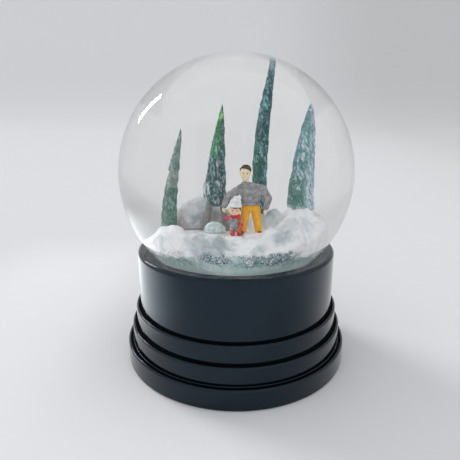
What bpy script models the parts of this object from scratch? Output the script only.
"""Snow globe: a liquid-filled glass globe with a painted winter diorama, on a turned black base.

Every length below is in millimetres, and the helpers turn it into metres as they build.
The base stands on z = 0, +Z is up and the front of the diorama faces -Y.
"""
import math

import bmesh
import bpy
from mathutils import Matrix, Vector

MM = 0.001
CLEARANCE = 0.3
CHAMFER = 0.5

# Globe and base: the driving sizes.
GLOBE_RADIUS = 50.0
GLASS_THICKNESS = 2.5
RIM_HEIGHT = 51.0
SEAT_RADIUS = 38.4
CENTRE_HEIGHT = RIM_HEIGHT + math.sqrt(GLOBE_RADIUS ** 2 - SEAT_RADIUS ** 2)

DRUM_RADIUS = 43.9
RIM_ROUND = 1.5
STEP_ROUND = 0.8
RING_STEPS = ((45.9, 25.4), (47.9, 17.3), (50.3, 9.2))  # radius and top of each ring, from the top
FOOT_RADIUS = RING_STEPS[-1][0]
BASE_WALL = 2.7
SHELF_THICKNESS = 3.0
SHELF_DEPTH = 4.0
SHELF_GAP = 2.1  # between the shelf's edge and the globe's neck
SEAT_TOP_DROP = 1.2
LIP_GAP = 0.1

# Neck, stopper and plug.
NECK_OUTER = 33.5
NECK_INNER = NECK_OUTER - GLASS_THICKNESS
NECK_END = 28.0
STOPPER_TOP = 46.0
STOPPER_BOTTOM = 25.0
PLUG_RADIUS = 4.7
PLUG_HEAD_RADIUS = 8.0
PLUG_HEAD_THICKNESS = 2.7
PLUG_TOP = STOPPER_TOP - 2.0

# Bottom cover.
COVER_RADIUS = 46.5
COVER_TOP = 3.2
COVER_THICKNESS = 2.0
COVER_LEDGE = 1.3
FELT_RADIUS = 45.5
FELT_THICKNESS = 0.7

# Diorama.
PLINTH_RADIUS = 29.4
PLINTH_TOP = 49.0
GROUND_RADIUS = 29.2
GROUND_LEVEL = 62.0
FOOTING_LEVEL = 64.0
ROOT_LEVEL = 64.5
PEG_DEPTH = 3.0
PEG_RADIUS = 0.9
WATER_GAP = 0.5
BLANK_LIFT = 100.0  # lifts a blank's top face clear of its sides while it is shaped
SEAT_CUT_HEIGHT = 9.0

BASE_SEGMENTS = 56
GLASS_SEGMENTS = 40
PLUG_SEGMENTS = 32
ROD_SEGMENTS = 11
GROUND_SEGMENTS = 40
GROUND_RINGS = 12
SPHERE_STEPS = 15
TREE_SEGMENTS = 14
TREE_LEVELS = 11
PEG_SHARE = 0.5  # a peg's radius in the unit profile that a tree is turned from


# ---------------------------------------------------------------- scene and helpers

def clear_scene():
    for item in list(bpy.data.objects):
        bpy.data.objects.remove(item, do_unlink=True)


def new_collection(name):
    collection = bpy.data.collections.new(name)
    bpy.context.scene.collection.children.link(collection)
    return collection


def material(name, colour, roughness, metallic=0.0, alpha=1.0):
    result = bpy.data.materials.new(name)
    result.use_nodes = True
    shader = result.node_tree.nodes["Principled BSDF"]
    shader.inputs["Base Color"].default_value = (*colour, 1.0)
    shader.inputs["Roughness"].default_value = roughness
    shader.inputs["Metallic"].default_value = metallic
    shader.inputs["Alpha"].default_value = alpha
    result.diffuse_color = (*colour, alpha)
    return result


def add_object(name, mesh, collection, finish=None):
    item = bpy.data.objects.new(name, mesh)
    collection.objects.link(item)
    if finish is not None:
        mesh.materials.append(finish)
        mesh.shade_smooth()
        mesh.set_sharp_from_angle(angle=math.radians(35))
    return item


def arc(centre_r, centre_z, radius, start, end, steps):
    """Points of an arc in the (radius, height) plane; angles in degrees, 0 outward and 90 up."""
    points = []
    for step in range(steps + 1):
        angle = math.radians(start + (end - start) * step / steps)
        points.append((centre_r + radius * math.cos(angle), centre_z + radius * math.sin(angle)))
    return points


def profile_object(name, points, segments, collection, closed, finish=None):
    """A profile in the XZ plane, turned about Z by a Screw modifier."""
    bm = bmesh.new()
    verts = [bm.verts.new((r * MM, 0.0, z * MM)) for r, z in points]
    for first, second in zip(verts, verts[1:]):
        bm.edges.new((first, second))
    if closed:
        bm.edges.new((verts[-1], verts[0]))
    mesh = bpy.data.meshes.new(name)
    bm.to_mesh(mesh)
    bm.free()
    item = add_object(name, mesh, collection, finish)
    screw = item.modifiers.new("Turn", "SCREW")
    screw.axis = "Z"
    screw.steps = segments
    screw.render_steps = segments
    screw.use_merge_vertices = True
    screw.merge_threshold = 0.00001
    screw.use_smooth_shade = True
    return item


def evaluated_mesh(item):
    """The object's mesh as its modifiers leave it; the object itself is removed."""
    depsgraph = bpy.context.evaluated_depsgraph_get()
    mesh = bpy.data.meshes.new_from_object(item.evaluated_get(depsgraph))
    bpy.data.objects.remove(item, do_unlink=True)
    return mesh


def turned_mesh(points, segments, collection):
    return evaluated_mesh(profile_object("blank", points, segments, collection, closed=False))


def boolean(item, tool, operation):
    tool.hide_render = True
    tool.display_type = "WIRE"
    modifier = item.modifiers.new(operation.title() + " " + tool.name, "BOOLEAN")
    modifier.operation = operation
    modifier.solver = "EXACT"
    modifier.object = tool


def cut(item, tool):
    boolean(item, tool, "DIFFERENCE")


def unite(item, tool):
    boolean(item, tool, "UNION")


def smoothstep(value):
    value = min(max(value, 0.0), 1.0)
    return value * value * (3.0 - 2.0 * value)


# ---------------------------------------------------------------- base

def base_profile():
    lip_radius = SEAT_RADIUS + LIP_GAP + CLEARANCE
    points = [(lip_radius, RIM_HEIGHT)]
    points += arc(DRUM_RADIUS - RIM_ROUND, RIM_HEIGHT - RIM_ROUND, RIM_ROUND, 90, 0, 3)
    upper_radius = DRUM_RADIUS
    for radius, top in RING_STEPS:
        points.append((upper_radius, top))
        points += arc(radius - STEP_ROUND, top - STEP_ROUND, STEP_ROUND, 90, 0, 2)
        upper_radius = radius
    points += arc(FOOT_RADIUS - STEP_ROUND, STEP_ROUND, STEP_ROUND, 0, -90, 2)
    recess = COVER_RADIUS + CLEARANCE
    shoulder = COVER_TOP + CLEARANCE
    inner = recess - COVER_LEDGE
    points += [(recess, 0.0), (recess, shoulder), (inner, shoulder)]
    outer_radii = (RING_STEPS[1][0], RING_STEPS[0][0], DRUM_RADIUS)
    for radius, (_, top) in zip(outer_radii, reversed(RING_STEPS)):
        points += [(inner, top - BASE_WALL), (radius - BASE_WALL, top - BASE_WALL)]
        inner = radius - BASE_WALL
    shelf_top = RIM_HEIGHT - SHELF_DEPTH
    shelf_bottom = shelf_top - SHELF_THICKNESS
    shelf_radius = NECK_OUTER + SHELF_GAP
    points += [(inner, shelf_bottom), (shelf_radius, shelf_bottom), (shelf_radius, shelf_top)]
    points.append((lip_radius, shelf_top))
    return points


def build_base(parts):
    black = material("black_lacquer", (0.012, 0.014, 0.018), 0.12)
    profile_object("base_shell", base_profile(), BASE_SEGMENTS, parts, True, black)

    cover_bottom = COVER_TOP - COVER_THICKNESS
    cover = [(0.0, COVER_TOP), (COVER_RADIUS - CHAMFER, COVER_TOP), (COVER_RADIUS, COVER_TOP - CHAMFER),
             (COVER_RADIUS, cover_bottom), (0.0, cover_bottom)]
    board = material("cover_board", (0.03, 0.03, 0.032), 0.6)
    profile_object("base_cover", cover, BASE_SEGMENTS, parts, False, board)

    felt_top = cover_bottom - CLEARANCE
    felt_bottom = felt_top - FELT_THICKNESS
    felt = [(0.0, felt_top), (FELT_RADIUS, felt_top), (FELT_RADIUS, felt_bottom), (0.0, felt_bottom)]
    cloth = material("felt", (0.02, 0.021, 0.024), 0.95)
    profile_object("felt_pad", felt, BASE_SEGMENTS, parts, False, cloth)


def build_seat_ring(parts):
    """The sealant bead that holds the globe: a wedge between the glass and the base's lip."""
    outer = SEAT_RADIUS + LIP_GAP
    bottom = RIM_HEIGHT - SHELF_DEPTH + CLEARANCE
    top = RIM_HEIGHT - SEAT_TOP_DROP
    reach = GLOBE_RADIUS + CLEARANCE + 0.05
    inner_side = []
    for step in range(4):
        height = bottom + (top - bottom) * step / 3
        inner_side.append((math.sqrt(reach ** 2 - (CENTRE_HEIGHT - height) ** 2), height))
    points = [(outer, top), (outer, bottom)] + inner_side
    sealant = material("sealant", (0.02, 0.02, 0.022), 0.5)
    profile_object("globe_seat_ring", points, GLASS_SEGMENTS, parts, True, sealant)


# ---------------------------------------------------------------- globe and its closure

def sphere_side(radius, end_radius, steps):
    """A sphere's profile from its top down to where its radius is end_radius, below the centre."""
    end = -math.degrees(math.acos(end_radius / radius))
    points = arc(0.0, CENTRE_HEIGHT, radius, 90, end, steps)
    points[0] = (0.0, CENTRE_HEIGHT + radius)
    return points


def build_globe(parts):
    outer = sphere_side(GLOBE_RADIUS, NECK_OUTER, SPHERE_STEPS)
    inner = sphere_side(GLOBE_RADIUS - GLASS_THICKNESS, NECK_INNER, SPHERE_STEPS)
    points = outer + [(NECK_OUTER, NECK_END), (NECK_INNER, NECK_END)] + inner[::-1]
    glass = material("clear_glass", (0.9, 0.95, 0.95), 0.02, alpha=0.2)
    profile_object("glass_globe", points, GLASS_SEGMENTS, parts, False, glass)


def build_closure(parts):
    bore = PLUG_RADIUS + CLEARANCE
    side = NECK_INNER - CLEARANCE
    flange_top = NECK_END - CLEARANCE
    stopper = [(bore, STOPPER_TOP), (side - CHAMFER, STOPPER_TOP), (side, STOPPER_TOP - CHAMFER),
               (side, flange_top), (NECK_OUTER, flange_top), (NECK_OUTER, STOPPER_BOTTOM),
               (bore, STOPPER_BOTTOM)]
    rubber = material("stopper_rubber", (0.55, 0.54, 0.5), 0.7)
    profile_object("rubber_stopper", stopper, GLASS_SEGMENTS, parts, True, rubber)

    head_top = STOPPER_BOTTOM - CLEARANCE
    head_bottom = head_top - PLUG_HEAD_THICKNESS
    plug = [(0.0, PLUG_TOP), (PLUG_RADIUS - CHAMFER, PLUG_TOP), (PLUG_RADIUS, PLUG_TOP - 2 * CHAMFER),
            (PLUG_RADIUS, head_top), (PLUG_HEAD_RADIUS, head_top),
            (PLUG_HEAD_RADIUS, head_bottom), (0.0, head_bottom)]
    plug_rubber = material("plug_rubber", (0.5, 0.49, 0.46), 0.7)
    profile_object("fill_plug", plug, PLUG_SEGMENTS, parts, False, plug_rubber)


# ---------------------------------------------------------------- diorama ground

# Snow banks: centre x and y, spread along x and y, and height above the ground level.
BANKS = (
    (-19.0, -13.0, 6.0, 4.5, 4.0),
    (-4.0, -13.5, 10.0, 3.0, 2.2),
    (17.8, -10.0, 4.6, 5.0, 9.6),
    (24.5, -7.0, 5.0, 7.0, 4.0),
    (20.0, 8.0, 8.0, 6.0, 8.4),
    (12.0, 11.0, 5.0, 6.0, 7.0),
    (-21.5, 1.0, 6.0, 7.0, 3.4),
    (-6.0, 9.0, 10.0, 8.0, 2.5),
)
# Level footings: centre x and y, radius and height.
FOOTINGS = {
    "adult": (4.6, -7.6, 4.4, FOOTING_LEVEL),
    "child": (-0.8, -10.6, 3.0, FOOTING_LEVEL),
    "lump": (-7.0, -4.4, 3.9, ROOT_LEVEL),
    "boulder": (-13.4, 6.6, 5.5, ROOT_LEVEL),
    "fork_left": (-10.0, 0.0, 1.7, ROOT_LEVEL),
    "fork_right": (-2.9, 0.0, 1.7, ROOT_LEVEL),
    "tree_left": (-21.5, 0.0, 3.3, 65.5),
    "tree_tall": (7.3, 8.5, 2.9, 65.5),
    "tree_right": (20.4, 7.0, 4.9, 70.6),
}
FOOTING_EDGE = 1.5
FRONT_START = -13.5
FRONT_FALL = 0.041
BANK_SOFTNESS = 0.9


def ground_height(x, y):
    """Height of the snow at a point of the diorama."""
    total = 1.0
    for centre_x, centre_y, spread_x, spread_y, height in BANKS:
        bank = height * math.exp(-((x - centre_x) / spread_x) ** 2 / 2 - ((y - centre_y) / spread_y) ** 2 / 2)
        total += math.exp(bank / BANK_SOFTNESS) - 1.0
    z = GROUND_LEVEL + BANK_SOFTNESS * math.log(total)
    z -= FRONT_FALL * max(0.0, FRONT_START - y) ** 2
    for centre_x, centre_y, radius, level in FOOTINGS.values():
        distance = math.hypot(x - centre_x, y - centre_y)
        weight = smoothstep((radius + FOOTING_EDGE - distance) / FOOTING_EDGE)
        z += (level - z) * weight
    return z


def ground_mesh(collection, bottom, edge_radius, lift):
    """A disc whose top face follows the snow, lifted by a given amount."""
    radii = [GROUND_RADIUS * step / GROUND_RINGS for step in range(GROUND_RINGS)] + [edge_radius]
    blank_top = GROUND_LEVEL + BLANK_LIFT
    points = [(radius, blank_top) for radius in radii] + [(edge_radius, bottom), (0.0, bottom)]
    mesh = turned_mesh(points, GROUND_SEGMENTS, collection)
    for vertex in mesh.vertices:
        if vertex.co.z > (blank_top - 1.0) * MM:
            vertex.co.z = (ground_height(vertex.co.x / MM, vertex.co.y / MM) + lift) * MM
    return mesh


def build_plinth(parts):
    top_edge = PLINTH_RADIUS - CHAMFER
    bottom = STOPPER_TOP + CLEARANCE
    points = [(0.0, PLINTH_TOP), (top_edge, PLINTH_TOP), (PLINTH_RADIUS, PLINTH_TOP - CHAMFER),
              (PLINTH_RADIUS, bottom), (0.0, bottom)]
    resin = material("plinth_resin", (0.62, 0.68, 0.64), 0.5)
    profile_object("diorama_plinth", points, GLASS_SEGMENTS, parts, False, resin)


def footing_cutter(name, footing, radius, bottom, top, cutters):
    """An upright cylinder at a footing, between two heights."""
    x, y, _, _ = FOOTINGS[footing]
    bm = bmesh.new()
    place = Matrix.Translation(Vector((x, y, (bottom + top) / 2)) * MM)
    bmesh.ops.create_cone(bm, cap_ends=True, segments=18, radius1=radius * MM, radius2=radius * MM,
                          depth=(top - bottom) * MM, matrix=place)
    mesh = bpy.data.meshes.new(name)
    bm.to_mesh(mesh)
    bm.free()
    return add_object(name, mesh, cutters)


def in_millimetres(mesh, turn):
    """Takes a mesh to millimetres for an object scaled by MM, where small cuts stay exact."""
    mesh.transform(Matrix.Scale(1 / MM, 4) @ Matrix.Rotation(turn, 4, "Z"))
    return mesh


def build_ground(parts, cutters):
    """The snow, with a level seat for each piece that stands on it and a socket for each peg."""
    snow = material("snow", (0.78, 0.8, 0.84), 0.6)
    mesh = in_millimetres(ground_mesh(parts, PLINTH_TOP + CLEARANCE, GROUND_RADIUS, 0.0), 0.0)
    ground = add_object("snow_ground", mesh, parts, snow)
    ground.scale = (MM, MM, MM)
    for footing, (_, _, radius, level) in FOOTINGS.items():
        seat = footing_cutter("seat_" + footing, footing, radius, level, level + SEAT_CUT_HEIGHT, cutters)
        cut(ground, seat)
        if footing in TREES:
            socket_bottom = level - PEG_DEPTH - CLEARANCE
            cut(ground, footing_cutter("socket_" + footing, footing, PEG_RADIUS + CLEARANCE,
                                       socket_bottom, level + 1.0, cutters))


# ---------------------------------------------------------------- trees, boulder and lump

# Each pegged tree's sections from its bottom to its tip: height, x, y, half width and half depth.
TREES = {
    "tree_left": (
        (65.8, -21.5, 0.0, 2.5, 2.2), (74.7, -21.4, 0.0, 2.7, 2.3), (82.0, -20.4, 0.0, 2.1, 1.8),
        (89.0, -19.2, 0.0, 1.5, 1.3), (94.5, -18.1, 0.0, 0.8, 0.7), (97.4, -17.5, 0.0, 0.2, 0.2)),
    "tree_tall": (
        (65.8, 7.3, 8.5, 2.2, 2.0), (78.0, 7.6, 8.4, 2.3, 2.1), (89.5, 7.8, 8.2, 2.6, 2.2),
        (100.0, 8.6, 8.0, 2.3, 2.0), (108.0, 9.8, 8.0, 1.6, 1.4), (114.0, 10.7, 8.0, 0.9, 0.8),
        (117.9, 11.2, 8.0, 0.3, 0.3)),
    "tree_right": (
        (70.9, 20.4, 7.0, 4.2, 3.4), (78.0, 20.7, 7.0, 4.3, 3.4), (89.5, 21.6, 7.0, 3.6, 2.9),
        (96.0, 22.3, 7.0, 2.4, 2.1), (101.0, 22.7, 7.0, 1.3, 1.2), (103.4, 22.9, 7.0, 0.5, 0.5)),
}
FORKED_FOLIAGE = (
    (71.6, -6.8, 0.0, 3.2, 2.6), (74.6, -6.8, 0.0, 3.9, 3.0), (82.0, -6.5, 0.0, 3.2, 2.6),
    (90.8, -6.1, 0.0, 2.6, 2.1), (99.5, -5.2, 0.0, 1.5, 1.3), (105.2, -4.5, 0.0, 0.3, 0.3))
# Trunks of the forked tree: top x and z, footing, and radius.
TRUNKS = ((-8.6, 73.4, "fork_left", 1.1), (-4.6, 73.4, "fork_right", 0.9))

# Stones: centre, radii and how far the top leans along x.
STONES = {
    "boulder": (Vector((-13.4, 6.6, 69.2)), Vector((7.2, 5.4, 6.4)), 0.6),
    "snow_lump": (Vector((-7.0, -4.4, 65.4)), Vector((3.7, 2.5, 2.7)), 0.0),
}


def section_at(sections, height):
    """The sections' x, y, half width and half depth at a height, blended between neighbours."""
    for low, high in zip(sections, sections[1:]):
        if height <= high[0]:
            break
    share = min(max((height - low[0]) / (high[0] - low[0]), 0.0), 1.0)
    return [a + (b - a) * share for a, b in zip(low[1:], high[1:])]


def spire_mesh(collection, sections, root, peg_radius, grow):
    """A spire of foliage that leans as its sections say, with a peg down to the root height."""
    bottom = sections[0][0]
    top = sections[-1][0] + 2 * grow
    levels = [top + (bottom - top) * (step / TREE_LEVELS) ** 1.1 for step in range(TREE_LEVELS + 1)]
    unit = [(0.0, top)] + [(1.0, level) for level in levels]
    unit += [(PEG_SHARE, bottom), (PEG_SHARE, root), (0.0, root)]
    mesh = turned_mesh(unit, TREE_SEGMENTS, collection)
    for vertex in mesh.vertices:
        unit_x = vertex.co.x / MM
        unit_y = vertex.co.y / MM
        x, y, half_width, half_depth = section_at(sections, vertex.co.z / MM)
        if abs(math.hypot(unit_x, unit_y) - PEG_SHARE) < 0.01:
            half_width = half_depth = peg_radius / PEG_SHARE
        vertex.co.x = (x + unit_x * (half_width + grow)) * MM
        vertex.co.y = (y + unit_y * (half_depth + grow)) * MM
    return mesh


def rod(bm, start, end, start_radius, end_radius):
    """A cone frustum between two points, given in millimetres."""
    axis = end - start
    turn = axis.to_track_quat("Z", "Y").to_matrix().to_4x4()
    place = Matrix.Translation((start + end) / 2 * MM) @ turn
    bmesh.ops.create_cone(bm, cap_ends=True, segments=ROD_SEGMENTS, radius1=start_radius * MM,
                          radius2=end_radius * MM, depth=axis.length * MM, matrix=place)


def ball(bm, centre, radii, subdivisions=2):
    scale = Matrix.Diagonal((*radii, 1.0))
    place = Matrix.Translation(centre * MM) @ scale
    bmesh.ops.create_icosphere(bm, subdivisions=subdivisions, radius=MM, matrix=place)


def trunk_object(name, trunk, grow, collection):
    """One bare trunk, from its seat into the foliage; a grown one starts below the seat."""
    top_x, top_z, footing, radius = trunk
    x, y, _, level = FOOTINGS[footing]
    bm = bmesh.new()
    foot = Vector((x, y, level + CLEARANCE - 3 * grow))
    rod(bm, foot, Vector((top_x, y, top_z)), radius + grow, radius + grow)
    mesh = bpy.data.meshes.new(name)
    bm.to_mesh(mesh)
    bm.free()
    return add_object(name, mesh, collection)


def tree_parts(name, grow, parts, cutters):
    """The tree, or its grown copy that cuts the water, with its trunks where it has them."""
    if name == "tree_forked":
        mesh = spire_mesh(parts, FORKED_FOLIAGE, FORKED_FOLIAGE[0][0] - 0.4, 1.0, grow)
        extras = []
        for index, trunk in enumerate(TRUNKS):
            label = f"{name}_trunk_{index}_{'grown' if grow else 'joined'}"
            extras.append(trunk_object(label, trunk, grow, cutters))
        return mesh, extras
    root = FOOTINGS[name][3] - PEG_DEPTH
    return spire_mesh(parts, TREES[name], root, PEG_RADIUS, grow), []


def build_trees(parts, cutters):
    colours = {"tree_left": (0.11, 0.27, 0.2), "tree_forked": (0.03, 0.1, 0.1),
               "tree_tall": (0.03, 0.11, 0.12), "tree_right": (0.12, 0.24, 0.24)}
    for name, colour in colours.items():
        mesh, extras = tree_parts(name, 0.0, parts, cutters)
        tree = add_object(name, mesh, parts, material(name + "_paint", colour, 0.55))
        for extra in extras:
            unite(tree, extra)


def stone_mesh(name, floor, grow):
    """A rounded stone, flat where it stands."""
    centre, radii, lean = STONES[name]
    radii = radii + Vector((grow, grow, grow))
    bm = bmesh.new()
    ball(bm, centre, radii, 3)
    for vertex in bm.verts:
        vertex.co.z = max(vertex.co.z, floor * MM)
        vertex.co.x += lean * (vertex.co.z / MM - centre.z) / radii.z * MM
    bmesh.ops.dissolve_degenerate(bm, dist=0.00001, edges=bm.edges)
    mesh = bpy.data.meshes.new(name)
    bm.to_mesh(mesh)
    bm.free()
    return mesh


def build_stones(parts):
    floor = ROOT_LEVEL + CLEARANCE
    grey = material("boulder_paint", (0.3, 0.29, 0.32), 0.6)
    add_object("boulder", stone_mesh("boulder", floor, 0.0), parts, grey)
    pale = material("lump_paint", (0.45, 0.57, 0.56), 0.5)
    add_object("snow_lump", stone_mesh("snow_lump", floor, 0.0), parts, pale)


# ---------------------------------------------------------------- figures

FIGURE_BASE = FOOTING_LEVEL + CLEARANCE

# Limbs: start, end, start radius and end radius. Masses: centre and radii.
ADULT_LIMBS = (
    ((2.0, -7.6, 65.2), (3.4, -7.4, 73.0), 1.0, 1.4),
    ((7.4, -7.6, 65.2), (6.0, -7.4, 73.0), 1.0, 1.4),
    ((1.4, -7.4, 79.6), (-2.9, -7.7, 76.0), 1.25, 1.0),
    ((-2.9, -7.7, 76.0), (-3.7, -8.2, 72.8), 1.0, 0.85),
    ((8.8, -7.4, 79.2), (10.4, -7.5, 75.6), 1.3, 1.05),
    ((10.4, -7.5, 75.6), (9.2, -7.9, 72.4), 1.05, 0.85),
    ((3.6, -7.5, 80.4), (3.2, -7.7, 82.8), 1.1, 1.0),
)
ADULT_MASSES = (
    ((5.0, -7.4, 77.8), (3.7, 2.2, 3.9)),
    ((4.7, -7.4, 73.6), (3.0, 1.9, 1.8)),
    ((2.9, -7.9, 85.0), (2.0, 2.2, 2.9)),
    ((1.9, -8.3, 65.1), (1.1, 1.7, 0.8)),
    ((7.5, -8.3, 65.1), (1.1, 1.7, 0.8)),
    ((8.9, -8.1, 71.3), (0.9, 0.8, 1.2)),
)
CHILD_LIMBS = (
    ((-1.4, -10.6, 65.2), (-1.2, -10.6, 68.4), 0.95, 1.2),
    ((0.9, -10.6, 65.2), (0.5, -10.6, 68.4), 0.95, 1.2),
    ((-1.6, -10.7, 70.6), (-3.0, -11.2, 69.8), 0.9, 0.8),
    ((0.9, -10.7, 70.6), (1.5, -11.0, 68.4), 0.9, 0.8),
)
CHILD_MASSES = (
    ((-0.4, -10.6, 69.2), (2.0, 1.6, 2.5)),
    ((-0.3, -10.7, 73.2), (1.9, 1.8, 2.1)),
    ((-0.3, -10.7, 74.9), (1.8, 1.7, 2.2)),
    ((-1.4, -11.1, 65.0), (0.95, 1.4, 0.75)),
    ((1.0, -11.1, 65.0), (0.95, 1.4, 0.75)),
)


def figure_object(name, limbs, masses, voxel, collection):
    """A figure as one skin over its limbs and masses."""
    bm = bmesh.new()
    for start, end, start_radius, end_radius in limbs:
        rod(bm, Vector(start), Vector(end), start_radius, end_radius)
        ball(bm, Vector(start), Vector((1, 1, 1)) * start_radius)
        ball(bm, Vector(end), Vector((1, 1, 1)) * end_radius)
    for centre, radii in masses:
        ball(bm, Vector(centre), Vector(radii))
    mesh = bpy.data.meshes.new(name)
    bm.to_mesh(mesh)
    bm.free()
    item = add_object(name, mesh, collection)
    skin = item.modifiers.new("Skin", "REMESH")
    skin.mode = "VOXEL"
    skin.voxel_size = voxel * MM
    skin.use_smooth_shade = True
    return item


def flat_footed(item, collection, level, finish):
    """The figure's skin as a mesh, with its soles flattened at a level."""
    name = item.name
    mesh = evaluated_mesh(item)
    for vertex in mesh.vertices:
        vertex.co.z = max(vertex.co.z, level * MM)
    mesh.materials.clear()
    return add_object(name, mesh, collection, finish)


def build_figures(parts):
    for name, limbs, masses, colour, voxel in (
            ("adult_figure", ADULT_LIMBS, ADULT_MASSES, (0.35, 0.3, 0.2), 0.85),
            ("child_figure", CHILD_LIMBS, CHILD_MASSES, (0.55, 0.05, 0.06), 0.7)):
        figure = figure_object(name, limbs, masses, voxel, parts)
        flat_footed(figure, parts, FIGURE_BASE, material(name + "_paint", colour, 0.5))


# ---------------------------------------------------------------- water

# Rooms that the liquid leaves around the figures: centre and radii.
FIGURE_ROOMS = {
    "adult": (Vector((4.0, -7.7, 76.3)), Vector((9.8, 4.4, 14.6))),
    "child": (Vector((-0.8, -10.8, 70.2)), Vector((4.8, 3.4, 8.4))),
}


def ball_mesh(name, centre, radii):
    bm = bmesh.new()
    ball(bm, centre, radii, 3)
    mesh = bpy.data.meshes.new(name)
    bm.to_mesh(mesh)
    bm.free()
    return mesh


def build_water(parts, cutters):
    """The liquid fills the globe and leaves room for the diorama and everything on it."""
    neck = NECK_INNER - CLEARANCE
    points = sphere_side(GLOBE_RADIUS - GLASS_THICKNESS - CLEARANCE, neck, SPHERE_STEPS)
    points += [(neck, STOPPER_TOP + CLEARANCE), (0.0, STOPPER_TOP + CLEARANCE)]
    half_segment = math.pi / GLASS_SEGMENTS
    mesh = in_millimetres(turned_mesh(points, GLASS_SEGMENTS, parts), half_segment)
    clear = material("water", (0.85, 0.92, 0.93), 0.02, alpha=0.12)
    water = add_object("water_fill", mesh, parts, clear)
    water.scale = (MM, MM, MM)

    rooms = {"ground": ground_mesh(cutters, PLUG_TOP, GROUND_RADIUS + WATER_GAP, WATER_GAP)}
    for name in ("tree_left", "tree_forked", "tree_tall", "tree_right"):
        rooms[name], extras = tree_parts(name, WATER_GAP, parts, cutters)
        for extra in extras:
            cut(water, extra)
    for name in STONES:
        rooms[name] = stone_mesh(name, ROOT_LEVEL - 1.0, WATER_GAP)
    for name, (centre, radii) in FIGURE_ROOMS.items():
        rooms[name] = ball_mesh(name, centre, radii)
    for name, mesh in rooms.items():
        cut(water, add_object("room_" + name, mesh, cutters))


def main():
    clear_scene()
    parts = new_collection("snow_globe")
    cutters = new_collection("cutters")
    build_base(parts)
    build_seat_ring(parts)
    build_globe(parts)
    build_closure(parts)
    build_plinth(parts)
    build_ground(parts, cutters)
    build_trees(parts, cutters)
    build_stones(parts)
    build_figures(parts)
    build_water(parts, cutters)


main()
